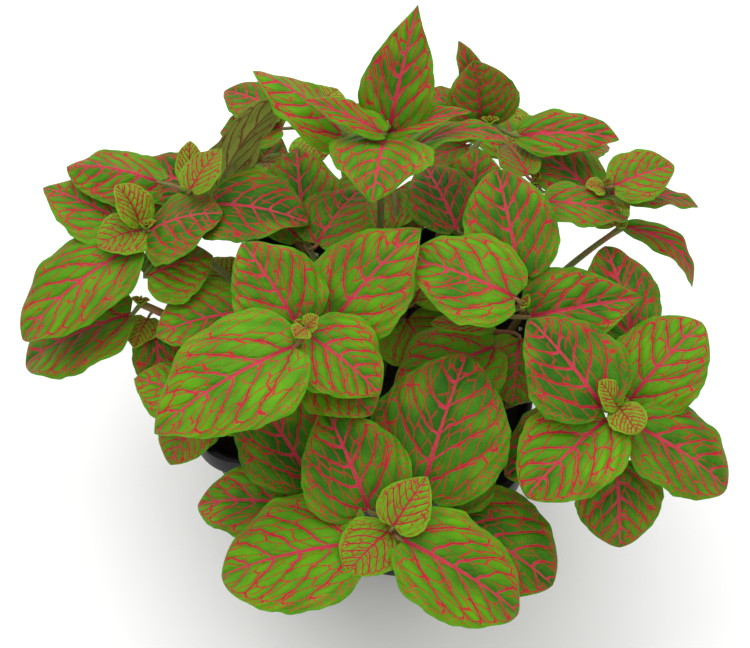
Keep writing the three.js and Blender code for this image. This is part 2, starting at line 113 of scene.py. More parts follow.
# the vein pattern, shared by the upper and the lower face of every blade; lengths in mm
veinPattern = {
    "midribHalf": (0.70, 0.25),  # half width where the blade starts and near its point
    "midribTaper": (0.0, 0.9),  # shares of the length
    "midribFade": (0.94, 0.985),
    "sideHalf": (0.38, 0.25),  # half width of a side vein at the midrib and at its end
    "sideTaper": (0.0, 0.8),  # shares of the half width
    "sideFade": (0.77, 0.85),
    "belowFirst": (-0.8, -0.5),  # no side veins under the lowest pair
    "loopHalf": 0.21,
    "netHalf": 0.17,
    "youngNetHalf": 0.10,
    "combHalf": 0.13,
    "veinWidths": (0.34, 1.0),  # shares for the youngest and the grown blades
    "soft": 0.12,  # how far a vein fades out at its edge
    "softInside": 0.6,  # the share of this that lies inside the edge
    "cellSizes": (1.65, 3.3),  # of the youngest and the grown blades, measured away from the midrib
    "cellStretch": 5.0 / 3.3,  # how much longer they are from one side vein to the next
    "netWidening": 1.2,
    "netPatches": (0.43, 0.60),  # where the net is faint and where it is full
    "netFaint": 0.12,
    "netAtMargin": 0.40,
    "netOnYoung": 0.35,
    "netAges": (0.3, 0.8),
    "netFade": (0.76, 0.86),
    "combSizes": (1.26, 2.1),  # the small cells between the loops and the margin
    "combStrength": 0.85,
    "combBlend": (-0.02, 0.02),  # where the comb begins at a loop
    "loopStart": 0.79,  # share of the half width where the loops run
    "loopBulge": 0.09,
    "loopSlope": -0.07,
    "wander": 0.40,
    "wanderScale": 0.24,
    "wobbleScale": 0.55,
    "wobbleMidrib": 0.5,
    "wobbleLoop": 0.12,
    "wobbleNet": 0.8,
    "wobbleComb": 0.5,
    "patchScale": 0.07,
    "netPatchScale": 0.19,
    "marginClear": (0.25, 0.85),  # how far the veins stay from the margin
    "marginBand": (0.1, 2.4),
    "swellFromSide": (0.0, 1.5),  # how far the swellings rise from each kind of vein
    "swellFromMidrib": (0.2, 1.6),
    "swellFromNet": (0.0, 0.8),
    "netSwell": 0.45,
    "halfShift": 7.3,  # sets the two halves of a blade apart
    "orderShift": 5.37,  # sets the cells between two side veins apart from the next ones
}


def veinLine(tree, gap, halfWidth):  # 1 on the line, 0 beside it
    soft = veinPattern["soft"]
    edge = calc(tree, "SUBTRACT", gap, halfWidth)
    return remap(tree, edge, (-soft * veinPattern["softInside"], soft), (1.0, 0.0), smooth=True)


def cellEdges(tree, across, down, randomness):  # distance to the nearest edge of an uneven cell, in cells
    place = addNode(tree, "ShaderNodeCombineXYZ", (across, down)).outputs[0]
    inputs = {"Vector": place, "Scale": 1.0, "Randomness": randomness}
    settings = {"voronoi_dimensions": "2D", "feature": "DISTANCE_TO_EDGE"}
    return addNode(tree, "ShaderNodeTexVoronoi", inputs, **settings).outputs["Distance"]


def makeVeinGroup():
    p = veinPattern
    tree = bpy.data.node_groups.new("bladeVeins", "ShaderNodeTree")
    times, plus, minus = (partial(calc, tree, name) for name in ("MULTIPLY", "ADD", "SUBTRACT"))
    timesPlus, larger = (partial(calc, tree, name) for name in ("MULTIPLY_ADD", "MAXIMUM"))
    faded = partial(remap, tree, smooth=True)
    fadedOut = partial(remap, tree, target=(1.0, 0.0), smooth=True)
    line = partial(veinLine, tree)

    # what every blade carries: phase of its side veins, place in mm, shares of its length and half width
    phase, band, half = splitVector(tree, readAttribute(tree, "veinFlow"))
    place = readAttribute(tree, "leafPlace")
    x, v, seed = splitVector(tree, place)
    along, away, age = splitVector(tree, readAttribute(tree, "leafShape"))
    byAge = partial(remap, tree, age, (0.0, 1.0))
    width = byAge(p["veinWidths"])
    wander = minus(noise(tree, place, p["wanderScale"], 3.0), 0.5)
    wobble = minus(noise(tree, place, p["wobbleScale"], 2.0), 0.5)
    bent = timesPlus(wander, p["wander"], phase)

    # midrib and side veins
    toSide = times(calc(tree, "PINGPONG", bent, 0.5), band)
    sideHalf = times(remap(tree, away, p["sideTaper"], p["sideHalf"]), width)
    aboveFirst = faded(bent, p["belowFirst"])
    side = times(times(line(toSide, sideHalf), fadedOut(away, p["sideFade"])), aboveFirst)
    midribHalf = times(remap(tree, along, p["midribTaper"], p["midribHalf"]), width)
    toMidrib = calc(tree, "ABSOLUTE", timesPlus(wobble, p["wobbleMidrib"], v))
    midrib = times(line(toMidrib, midribHalf), fadedOut(along, p["midribFade"]))

    # the loops that join the ends of the side veins
    share = calc(tree, "FRACT", bent)
    arc = calc(tree, "SINE", times(share, math.pi))
    loopAway = timesPlus(arc, p["loopBulge"], p["loopStart"])
    loopAway = timesPlus(share, p["loopSlope"], loopAway)
    loopAway = timesPlus(wobble, p["wobbleLoop"], loopAway)
    toLoop = times(calc(tree, "ABSOLUTE", minus(away, loopAway)), half)
    loop = times(line(toLoop, times(width, p["loopHalf"])), aboveFirst)

    # veins that cross from one side vein to the next
    cell = byAge(p["cellSizes"])
    halfOf = times(calc(tree, "SIGN", v), p["halfShift"])
    order = timesPlus(calc(tree, "FLOOR", bent), p["orderShift"], plus(seed, halfOf))
    span = calc(tree, "DIVIDE", band, times(cell, p["cellStretch"]))
    netAcross = timesPlus(share, span, order)
    netDown = calc(tree, "DIVIDE", timesPlus(wobble, p["wobbleNet"], calc(tree, "ABSOLUTE", v)), cell)
    toNet = times(cellEdges(tree, netAcross, netDown, 0.9), times(cell, p["netWidening"]))
    net = line(toNet, larger(times(width, p["netHalf"]), p["youngNetHalf"]))
    patchy = timesPlus(away, p["netAtMargin"], noise(tree, place, p["netPatchScale"], 1.0))
    patchy = timesPlus(remap(tree, age, p["netAges"], (1.0, 0.0)), p["netOnYoung"], patchy)
    net = times(net, faded(patchy, p["netPatches"], (p["netFaint"], 1.0)))
    net = times(net, fadedOut(away, p["netFade"]))

    # the fine comb along the margin
    comb = byAge(p["combSizes"])
    combAcross = plus(calc(tree, "DIVIDE", x, comb), seed)
    toEdge = times(minus(1.0, away), half)
    combDown = timesPlus(wobble, p["wobbleComb"], calc(tree, "DIVIDE", toEdge, comb))
    toComb = times(cellEdges(tree, combAcross, combDown, 1.0), comb)
    combZone = faded(minus(away, loopAway), p["combBlend"], (0.0, p["combStrength"]))
    net = larger(net, times(line(toComb, p["combHalf"]), combZone))

    clear = faded(toEdge, p["marginClear"])
    swell = calc(tree, "MINIMUM", faded(toSide, p["swellFromSide"]), faded(toMidrib, p["swellFromMidrib"]))
    results = {
        "Main Veins": larger(midrib, times(larger(side, loop), clear)),
        "Net Veins": times(net, clear),
        "Margin": fadedOut(toEdge, p["marginBand"]),
        "Swell": timesPlus(faded(toNet, p["swellFromNet"]), p["netSwell"], swell),
        "Patches": noise(tree, place, p["patchScale"], 2.0),
        "Along": along,
        "Age": age,
        "Middle": minus(1.0, away),
        "Place": place,
    }
    for name in results:
        kind = "NodeSocketVector" if name == "Place" else "NodeSocketFloat"
        tree.interface.new_socket(name=name, in_out="OUTPUT", socket_type=kind)
    addNode(tree, "NodeGroupOutput", results)
    return tree


veinGroup = makeVeinGroup()

leafColours = {
    "deep": srgb(36, 88, 8),
    "middle": srgb(77, 143, 0),
    # the lighter green of the painted highlight on the swellings, also of the lighter margin
    "highlightAndMarginGreen": srgb(124, 180, 8),
    "young": srgb(120, 166, 24),
    "veinFoot": srgb(146, 10, 42),
    "vein": srgb(192, 46, 74),
    "veinEnd": srgb(178, 18, 48),
    "net": srgb(176, 30, 40),
    "youngVein": srgb(150, 22, 36),
    "under": srgb(160, 168, 78),
    "underVein": srgb(128, 66, 48),
    "stem": srgb(100, 110, 50),
    "stemRed": srgb(138, 62, 54),
    "stemPale": srgb(138, 148, 88),
}
leafFinish = {
    "specular": 0.14,
    "upperRoughness": (0.5, 0.64),
    "lowerRoughness": (0.56, 0.7),
    "grain": (0.3, 0.7),  # the part of the fine grain that roughens the faces
    "grainScale": 1.8,
    "grainShade": 0.25,
    "grainRelief": 0.12,
    "shade": -0.08,
    "patchShade": 0.9,
    "middleShade": -0.22,  # darker along the midrib
    "toneShade": 0.31,  # how much one blade is darker than the next
    "toneMiddle": 0.55,
    "toneStep": 0.618,  # the fraction of this many times the blade's seed place is its tone
    "greens": (0.1, 0.62),  # where the green turns from deep to middle
    # painted highlight on the swellings: the swelling heights it spans and how strong it grows
    "swells": (0.5, 1.4),
    "swellHighlight": (0.0, 0.28),
    "highlightGreens": (0.2, 0.6),  # the painted highlight stays off the dark greens
    "marginLight": 0.08,
    "youngAges": (0.3, 0.7),
    "youngShare": 0.7,
    "footReach": (0.0, 0.26),  # the veins are wine red near the foot of the blade
    "footPatches": ((0.32, 0.52), (0.25, 1.0)),
    "pinkReach": (0.62, 0.96),
    "netStrength": 0.92,
    "mainStrength": 0.96,
    "upperBump": (0.0004, 0.85),
    "underGrainScale": 2.2,
    "underPatches": ((0.3, 0.7), (0.0, 0.3)),
    "underNetStrength": 0.5,
    "underMainStrength": 0.85,
    "underVeinRelief": 0.8,
    "lowerBump": (0.0004, 0.6),
    "stemSpecular": 0.28,
    "stemRoughness": 0.6,
    "stemBlotchScale": 0.12,
    "stemBlotches": ((0.42, 0.64), (0.0, 0.8)),
    "stemGrainScale": 1.6,
    "stemPaleSpots": ((0.5, 0.75), (0.0, 0.35)),
    "stemBump": (0.00015, 0.7),
}


def makeUpperFace():
    s, c = leafFinish, leafColours
    material, tree, shader = newMaterial("leafUpper", s["specular"])
    get = addNode(tree, "ShaderNodeGroup", node_tree=veinGroup).outputs
    times, timesPlus = partial(calc, tree, "MULTIPLY"), partial(calc, tree, "MULTIPLY_ADD")
    mix = partial(mixColour, tree)
    fine = noise(tree, get["Place"], s["grainScale"], 3.0)

    # green, with a painted highlight on the swellings, lighter at the margin, yellower on young blades
    blend = timesPlus(get["Patches"], s["patchShade"], timesPlus(fine, s["grainShade"], s["shade"]))
    blend = timesPlus(get["Middle"], s["middleShade"], blend)
    tone = calc(tree, "FRACT", times(splitVector(tree, get["Place"])[2], s["toneStep"]))
    blend = timesPlus(calc(tree, "SUBTRACT", tone, s["toneMiddle"]), s["toneShade"], blend)
    green = mix(remap(tree, blend, s["greens"]), c["deep"], c["middle"])
    # painted highlight: lighter where the blade swells up, held off the dark greens
    paintedHighlight = remap(tree, get["Swell"], s["swells"], s["swellHighlight"])
    paintedHighlight = times(paintedHighlight, remap(tree, blend, s["highlightGreens"]))
    highlightAndMarginShare = calc(tree, "MAXIMUM", paintedHighlight, times(get["Margin"], s["marginLight"]))
    green = mix(highlightAndMarginShare, green, c["highlightAndMarginGreen"])
    youth = remap(tree, get["Age"], s["youngAges"], (1.0, 0.0), smooth=True)
    green = mix(times(youth, s["youngShare"]), green, c["young"])

    # red veins over it
    nearFoot = remap(tree, get["Along"], s["footReach"], (1.0, 0.0), smooth=True)
    pink = remap(tree, get["Middle"], s["pinkReach"], smooth=True)
    main = mix(pink, c["veinEnd"], c["vein"])
    main = mix(times(nearFoot, remap(tree, get["Patches"], *s["footPatches"])), main, c["veinFoot"])
    main = mix(youth, main, c["youngVein"])
    net = mix(youth, c["net"], c["youngVein"])
    colour = mix(times(get["Net Veins"], s["netStrength"]), green, net)
    colour = mix(times(get["Main Veins"], s["mainStrength"]), colour, main)
    roughness = remap(tree, fine, s["grain"], s["upperRoughness"])
    relief = timesPlus(fine, s["grainRelief"], get["Swell"])
    finishSurface(tree, shader, colour, relief, s["upperBump"], roughness)
    return material


def makeLowerFace():
    s, c = leafFinish, leafColours
    material, tree, shader = newMaterial("leafUnder", s["specular"])
    get = addNode(tree, "ShaderNodeGroup", node_tree=veinGroup).outputs
    times, mix = partial(calc, tree, "MULTIPLY"), partial(mixColour, tree)
    fine = noise(tree, get["Place"], s["underGrainScale"], 2.0)
    colour = mix(remap(tree, get["Patches"], *s["underPatches"]), c["under"], c["middle"])
    colour = mix(times(get["Net Veins"], s["underNetStrength"]), colour, c["underVein"])
    colour = mix(times(get["Main Veins"], s["underMainStrength"]), colour, c["underVein"])
    roughness = remap(tree, fine, s["grain"], s["lowerRoughness"])
    relief = calc(tree, "MULTIPLY_ADD", get["Main Veins"], s["underVeinRelief"], fine)
    finishSurface(tree, shader, colour, relief, s["lowerBump"], roughness)
    return material


def makeStemSkin():
    s, c = leafFinish, leafColours
    material, tree, shader = newMaterial("stemSkin", s["stemSpecular"], s["stemRoughness"])
    place = objectPlace(tree, 1 / mm)
    blotch = noise(tree, place, s["stemBlotchScale"], 3.0)
    fine = noise(tree, place, s["stemGrainScale"], 3.0)
    colour = mixColour(tree, remap(tree, blotch, *s["stemBlotches"]), c["stem"], c["stemRed"])
    colour = mixColour(tree, remap(tree, fine, *s["stemPaleSpots"]), colour, c["stemPale"])
    finishSurface(tree, shader, colour, fine, s["stemBump"])
    return material


upperFace = makeUpperFace()
lowerFace = makeLowerFace()
stemSkin = makeStemSkin()
print("materials of the leaves made")

# places in mm, turns in degrees; x, y and z of a leaf's foot count from the tip of the stem, a lower point is
# blunter, a higher tone is lighter, and the last four are given only where the usual ones don't fit
Stem = namedtuple("Stem", "node tip root leaves")
leafParts = "x y z heading rise length width roll arch fold point tone droop"
Leaf = namedtuple("Leaf", leafParts, defaults=[0.25, None, None, None])
leafyStems = [
    Stem("leafy_stem_front", (17, -76, 104), (12, -34), [
        (1.5, -4.5, 9, 61, 26, 17.5, 17, 4, 1, 0.3, 0.9, 0.6),
        (0, -3, 3.5, 236, -7, 18, 20, 0, 1, 0.3, 0.7, 0.6),
        (-7.5, 4.5, 1.5, 126, 27, 34, 34, -3, 2, 0.3, 0.98, 0.3),
        (5, -7.5, 7, 348, -26, 41, 34, 2, 2.5, 0.25, 0.68, 0.9),
        (7, 15.5, -2.5, 80, 25, 44.5, 44, -2, 2.5, 0.25, 0.74, 0.2),
        (-7.5, -6.5, 0.5, 194, -18, 44.5, 40, -1, 2.5, 0.25, 0.66, 0.9),
    ]),
    Stem("leafy_stem_front_left_low", (-8, -59, 95), (-13, -34), [
        (-3.5, 1, 0.5, 137, 21, 39, 33, 6, 2, 0.25, 0.9, 0.05),
        (-5.5, -7, -3, 181, -12, 32.5, 29, 4, 2, 0.25, 0.7, 0.6),
        (1.5, -1, -3, 325, -12, 12, 18, -5, 0.5),
    ]),
    Stem("leafy_stem_front_right_low", (31, -63, 95), (29, -36), [
        (2, 2, -5, 336, -6, 37, 36, 4, 2.5, 0.25, 0.64, 0.25),
        (0.5, 3, 0.5, 72, 13, 23.5, 24, -2, 1.5),
    ]),
    Stem("leafy_stem_middle_left", (-17, -31, 136), (-12, -18), [
        (1.5, -3.5, 5, 37, 37, 5, 7, -3, 0, 0.4),
        (1.5, -6, 7.5, 241, 4, 4.5, 7, -5, 0, 0.4),
        (-3, 4, -5, 138, 26, 30.5, 30, -7, 2, 0.3, 0.85, 0.75),
        (2, -4, 1.5, 335, -18, 27.5, 31, -3, 1.5, 0.25, 0.85, 0.85),
        (7, 10.5, -9, 49, 30, 38.5, 36, 1, 2, 0.25, 0.95, 0.6),
        (-1, -10.5, 4, 216, -18, 48, 40, -2, 3.5, 0.25, 0.86, 0.9),
        (4.5, -6, -10, 328, -9, 23, 28, -5, 1),
    ]),
    Stem("leafy_stem_left_inner", (-40, -9, 116), (-28, -8), [
        (-2.5, 0.5, -7.5, 205, -4, 28.5, 34, 5, 1.5),
        (3.5, -1, -4.5, 337, -13, 16, 26, -6, 1),
        (-1.5, 1, -11, 272, -16, 23, 28, 6, 1.5),
    ]),
    Stem("leafy_stem_left", (-78, 12, 119), (-38, 7), [
        (0, 0, -1.5, 217, 5, 17, 18, -4, 2, 0.3, 0.62, 0.3),
        (-2, -0.5, 1.5, 138, 34, 15, 14, 14, 2, 0.8, 0.7, 0.4),
        (1.5, -1.5, 0.5, 8, 23, 26, 33, -6, 2, -0.2, 0.8, 0.4),
        (-6, 4.5, -7.5, 160, 1, 37, 30, 5, 1.5, 0.25, 0.95, 0.7),
        (-3.5, -6, -3.5, 221, -25, 47, 33, 1, 3.5, 0.25, 0.7, 0.65),
        (3.5, -15, -6, 30, 5, 22, 27, 0, 1.5, -0.25),
        (28, -2.5, -21, 144, 4, 14, 16, 4, 1),
    ]),
    Stem("leafy_stem_left_low", (-77, -6, 102), (-36, -16), [
        (1, 1, -9, 262, -5, 12, 13, 6, 0.5, 0.3),
        (-4, -2, -4.5, 199, -27, 41.5, 33, 0, 2.5, 0.25, 0.66, 0.6),
        (5, -3.5, -9.5, 287, -31, 23, 17, 6, 1.5),
    ]),
    Stem("leafy_stem_left_back", (-67, 27, 122), (-36, 23), [
        (2.5, -6.5, 8.5, 64, 19, 17, 14, -7, 1, 0.3),
        (-1.5, 6, -3.5, 102, 33, 14.5, 10, -7, 0.5, 0.3),
        (8.5, -4.4, 0, 352, 6, 33.5, 36, -6, 2),
        (-12, 5.5, -4, 180, 4, 31.5, 24, -3, 3, -0.6),
        (6, 6.5, -8.5, 50, 38, 43, 24, -90, 4, 0.3),
    ]),
    Stem("leafy_stem_back_top", (-6, 43, 145), (-4, 25), [
        (2, 2, 1.5, 81, 48, 38.5, 24, 5, 1.5, 0.25, 1.15, 0.5),
        (1.5, -6.5, 2.5, 272, 8, 29, 33, 0, 3, 0.2, 0.95, 0.85),
        (0.5, -6.5, 6, 176, 20, 27, 12, 2, 1, 0.5),
        (1.5, 0.5, -1.5, 14, 19, 27.5, 10, -4, 1, 0.5),
        (-12.5, -3.5, 0, 162, 24, 34.5, 22, 8, 3, -0.5),
        (9.5, 0.5, -7, 12, 5, 35, 17, -22, 5, 0.3, 0.9, 0.6, 7.5),
    ]),
    Stem("leafy_stem_middle_right", (46, -6, 128), (27, -1), [
        (-3, -1.5, 6, 168, 5, 36.5, 34, -2, 2, 0.25, 0.85, 0.8),
        (-3, 12.5, 0, 112, 26, 34.5, 30, -1, 2, 0.3, 0.68, 0.55),
        (2.5, 3, -8, 20, 3, 36.5, 28, 27, 2, 0.25, 1.2, 0.5),
        (-9, 0.5, -11.5, 193, 6, 19.5, 9, -6, 1, 0.3),
        (-7.5, -3.5, -18, 212, -15, 36, 35, 5, 2),
        (0, 1, -18, 272, -18, 21.5, 28, 4, 1),
    ]),
    Stem("leafy_stem_middle_back_low", (24, 32, 112), (19, 10), [
        (0, 5, -3.5, 93, 27, 29, 27, -3, 1.5),
        (-3, -4.5, 8.5, 119, -3, 31, 24, -3, 1.5),
        (4.5, -5.5, 2, 358, -3, 20, 26, 3, 1),
    ]),
    Stem("leafy_stem_right_inner", (43, 57, 114), (31, 26), [
        (5.5, -17.5, 11.5, 3, -10, 26.5, 21, -8, 2, 0.2),
        (-3, -3, 7, 119, -12, 19, 14, 4, 1, 0.3),
        (4, 4.5, -8, 53, -8, 14, 18, 1, 1),
    ]),
    Stem("leafy_stem_right", (78, -28, 115), (38, -17), [
        (0, -5, 6, 150, 44, 10, 9.5, 1, 0.5, 0.4, 0.62, 0.5),
        (0.5, -4.5, 5, 306, 6, 11, 12, 5, 0.5, 0.4, 0.5, 0.5),
        (-4.5, -6.5, 7, 139, 16, 35, 34, -4, 2, 0.3, 0.9, 0.05),
        (4, 7, -7, 51, 27, 33, 31, 3, 2, 0.25, 0.68, 0.8),
        (-2.5, -8, 3, 232, -12, 34, 32, -1, 2, 0.25, 0.62, 0.85),
        (6.5, -4.5, -3.5, 344, -22, 34, 32, -3, 2, 0.25, 0.64, 0.45),
        (2.5, -15, -10, 283, -38, 25, 27, 0, 1.5),
        (-6, -9, -5.5, 210, -12, 29, 34, 4, 1.5),
    ]),
    Stem("leafy_stem_right_low", (84, 6, 101), (35, 7), [
        (-3.5, -1, 7, 112, 11, 32.5, 24, 2, 2),
        (0, 5, -8, 80, 1, 16, 19, -5, 1),
        (-5.5, -0.5, -2.5, 165, -5, 16.5, 24, 3, 1),
    ]),
    Stem("leafy_stem_right_back", (65.5, 52, 122), (35, 34), [
        (1, 7, -9.5, 325, -2, 10.5, 7, 4, 0.5, 0.4),
        (0, -3, 2.5, 191, 20, 6.5, 8, 3, 0.5, 0.4),
        (2.5, -2.5, -0.5, 9, -8, 29.5, 17, -20, 2, 0.2),
        (3, -4.5, 6.5, 28, 8, 21, 20, 8, 1, 0.3),
        (-3.5, 6.5, -10, 148, 7, 31, 24, 0, 1.5),
    ]),
    Stem("leafy_stem_back_right", (25, 72, 124), (11, 40), [
        (-3.5, 2, -2, 111, 58, 21, 26, 4, 1.5, 0.85, 0.7, 0.2),
        (-5, 6, -3, 125, 56, 26, 12, 8, 1.5, 0.5),
        (-5.5, 3.5, -7, 151, 11, 21.5, 18, 0, 1.5, 0.3),
        (11, -3, -1, 5, 4, 32.5, 19, 5, 2, 0.3),
        (-7, -1.5, -10.5, 216, -8, 20.5, 20, 4, 1, 0.2),
    ]),
    Stem("leafy_stem_right_back_drooping", (73, 47, 109), (40, 16), [
        (2, 6.5, -7.5, 339, -27, 30, 11, 1, 9, 0.3),
        (-1.5, 6.5, -6.5, 129, 1, 10, 14, -1, 0.5, 0.3),
    ]),
    Stem("leafy_stem_middle_low", (-27, 18, 115), (-15, 6), [
        (-1.5, 5.5, -5, 106, 16, 34, 30, -3, 2),
        (5, -5, 6.5, 67, 6, 24.5, 26, -7, 1.5),
    ]),
    Stem("leafy_stem_centre_back", (-5, 56, 108), (5, 21), [
        (-1, 0, -5, 239, -8, 20.5, 32, 3, 1),
        (0.5, 3, -9, 303, -8, 19.5, 28, 5, 1),
        (-5.5, 6, -7.5, 141, -1, 18, 20, -3, 1),
    ]),
    Stem("leafy_stem_back_left", (-41, 76, 112), (-16, 37), [
        (-4.5, -5.5, 4.5, 156, -4, 25, 24, 5, 1.5),
        (6.5, -5.5, 8, 65, 2, 13.5, 20, 1, 0.5),
        (-4, -9.5, 2.5, 182, -13, 22.5, 20, -6, 1),
        (6, -13.5, 5, 307, -4, 11.5, 18, 6, 0.5),
    ]),
    Stem("leafy_stem_centre", (7, 4, 105), (2, -5), [
        (-2, -4.5, 10, 125, 7, 16, 28, -4, 1),
        (1.5, -1, -4, 315, -16, 20, 28, 5, 1),
        (-3, -1, -12.5, 248, 0, 12, 28, 2, 1),
        (3.5, 2, 2, 72, 9, 17, 26, 0, 1),
    ]),
    Stem("leafy_stem_front_left_rim", (-47, -38, 100), (-37, -34), [
        (-3, 0.5, -6.5, 249, -19, 20, 20, 1, 1),
        (-4, 2, -3.5, 168, 0, 23, 25, 1, 1),
        (2, -2.5, -1, 332, -9, 13, 15, -2, 1),
    ]),
    Stem("leafy_stem_rear_left", (-65, 60, 97), (-33, 40), [
        (12, -2, -2, 119, 28, 16, 11, 7, 0.5, 0.3),
        (14, -1.5, 7.5, 340, 23, 16.5, 11, -5, 0.5, 0.3),
        (10, -2.5, -10, 92, 13, 30, 25, -4, 2),
        (-8.5, -1.5, -6, 208, -7, 37.5, 27, 0, 2.5),
        (-4.5, -12, 1, 162, -6, 28, 24, -6, 2),
    ]),
    Stem("leafy_stem_rear", (-11, 81, 98), (-1, 36), [
        (7, 3.5, -8, 0, 24, 14, 11, -4, 0.5, 0.3),
        (6, -6, -2.5, 263, 27, 10.5, 11, 4, 0.5, 0.3),
        (4, -3, -0.5, 96, -5, 33.5, 26, 4, 2),
        (-1, 3.5, 7, 350, 6, 34.5, 25, 3, 2.5),
        (-8, -2, -9, 84, -8, 36.5, 30, 4, 2.5),
    ]),
    Stem("leafy_stem_rear_right", (37, 86, 100), (20, 33), [
        (-7.5, -8, 7.5, 6, 25, 13.5, 11, -7, 0.5, 0.3),
        (5.5, 9.5, -5, 160, 21, 13.5, 11, -3, 0.5, 0.3),
        (0, 7, -10, 145, -3, 33.5, 27, 5, 2),
        (9, -0.5, -1, 35, -18, 26, 21, -3, 2.5),
    ]),
]

bladeSettings = {
    "cells": (44, 32),  # along and across
    "youngCells": (26, 16),
    "youngBelow": 21.0,  # blades shorter than this get the coarser sheet
    "evenShare": 0.35,  # how evenly the rows lie; the rest crowds them at both ends
    "fullLength": 40,  # a blade of this length has the full swellings and waves
    "thickness": 0.55,
    "marginThickness": 0.18,
    "youngThickness": 0.7,
    "footPower": 0.42,
    "pointPower": 0.94,
    "pointSpread": 0.26,  # the bluntest blades have this much less
    "ripples": (0.018, 0.011, 0.007),  # small steps of the outline, as shares of the half width
    "lobeShare": 0.07,  # how far the base reaches back on each side, as a share of the length
    "lobeCurve": 1.5,
    "lobeFade": 4,
    "curlShare": 0.55,
    "curlDrop": 0.1,
    "puff": 0.34,  # how far a full-size blade swells between its side veins
    "puffBesideVein": 1.3,
    "puffBesideMidrib": 1.7,
    "keelHeight": 0.35,  # the midrib stands out on the lower face
    "keelHalf": 0.8,
    "firstSide": 0.03,  # where the lowest side veins leave the midrib, as a share of the length
    "sideStep": 0.188,
    "youngStep": 0.142,
    "stepLengths": (14, 26),  # lengths between which the steps grow from young to full
    "lean": 0.43,  # how far forward a side vein has run at the widest place of the margin
    "leanPower": 1.2,
    "leanGrowth": 0.16,  # the veins near the point lean more
    "sweep": 0.13,  # how far its end is drawn along the margin
    "sweepPower": 6,
    "pairShift": 0.16,  # the two side veins of a pair don't quite meet
    "pairShiftHalf": 0.12,
    "bandRange": (0.4, 14),
    "marginWave": 0.9,
    "pointDroop": 1.2,
    "ageLengths": (6, 32),  # youngest and full-grown length for the colours
    "smoothAngle": 50,
    "seedStep": 7.31,
    "seedRange": 97,
}


def outlineAt(t, q):
    p = bladeSettings["footPower"]
    peak = p / (p + q)
    return t ** p * (1 - t) ** q / (peak ** p * (1 - peak) ** q)


def bladeSheet(rows, columns):  # a closed sheet in shares of length and half width, used for every blade
    even = bladeSettings["evenShare"]
    step = np.arange(1, rows) / rows
    ts = even * step + (1 - even) * (0.5 - 0.5 * np.cos(np.pi * step))
    us = np.linspace(-1, 1, columns + 1)
    t = np.concatenate([[0.0], np.repeat(ts, columns + 1), [1.0]])
    u = np.concatenate([[0.0], np.tile(us, rows - 1), [0.0]])
    count = len(t)

    def at(i, j):
        if i == 0:
            return 0
        return count - 1 if i == rows else 1 + (i - 1) * (columns + 1) + j

    upper = []
    for i in range(rows):
        for j in range(columns):
            corners = [at(i, j), at(i + 1, j), at(i + 1, j + 1), at(i, j + 1)]
            upper.append([c for k, c in enumerate(corners) if c != corners[k - 1]])
    lower = [[c + count for c in reversed(face)] for face in upper]
    rim = []
    for i in range(rows):
        a, b = at(i, 0), at(i + 1, 0)
        rim.append([a, a + count, b + count, b])
        a, b = at(i, columns), at(i + 1, columns)
        rim.append([b, b + count, a + count, a])
    slots = [0] * len(upper) + [1] * len(lower) + [0] * len(rim)
    return {"t": t, "u": u, "faces": upper + lower + rim, "slots": slots}


grownSheet = bladeSheet(*bladeSettings["cells"])
youngSheet = bladeSheet(*bladeSettings["youngCells"])


def between(value, low, high):  # 0 up to the low end, 1 from the high end
    return min(max((value - low) / (high - low), 0), 1)


def turnOf(leaf):
    turns = [(leaf.heading, "Z"), (-leaf.rise, "Y"), (leaf.roll, "X")]
    heading, rise, roll = (Matrix.Rotation(math.radians(degrees), 3, axis) for degrees, axis in turns)
    return np.array(heading @ rise @ roll)


def footOf(leaf, tip):
    return np.array(tip, float) + (leaf.x, leaf.y, leaf.z)


# the side veins run where the phase is a whole number; the band is the distance from one to the next
def sideVeins(t, u, half, leaf, point, turns):
    s = bladeSettings
    away = np.abs(u)
    reach = np.abs(u * half) / (leaf.width / 2)
    lean = s["lean"] + s["leanGrowth"] * t
    flow = lean * reach ** s["leanPower"] + s["sweep"] * away ** s["sweepPower"]
    step = s["youngStep"] + (s["sideStep"] - s["youngStep"]) * between(leaf.length, *s["stepLengths"])
    shift = s["pairShift"] * np.sign(u) * np.minimum(away / s["pairShiftHalf"], 1)
    bend = 0.10 * np.sin(2.2 * np.pi * t + turns[1]) * away + 0.08 * np.sin(7 * u + turns[2]) * away
    phase = (t - s["firstSide"] - flow) / step + shift + bend

    # the slopes of the phase give the band
    inner = np.clip(t, 0.02, 0.98)
    growth = s["footPower"] / inner - point / (1 - inner)
    sweepSlope = s["sweepPower"] * s["sweep"] * away ** (s["sweepPower"] - 1)
    leanSlope = s["leanPower"] * lean * reach ** (s["leanPower"] - 1)
    alongSlope = (1 - s["leanGrowth"] * reach ** s["leanPower"] + sweepSlope * away * growth) / leaf.length
    acrossSlope = leanSlope / (leaf.width / 2) + sweepSlope / np.maximum(half, 0.6)
    return phase, step / np.sqrt(alongSlope ** 2 + acrossSlope ** 2)


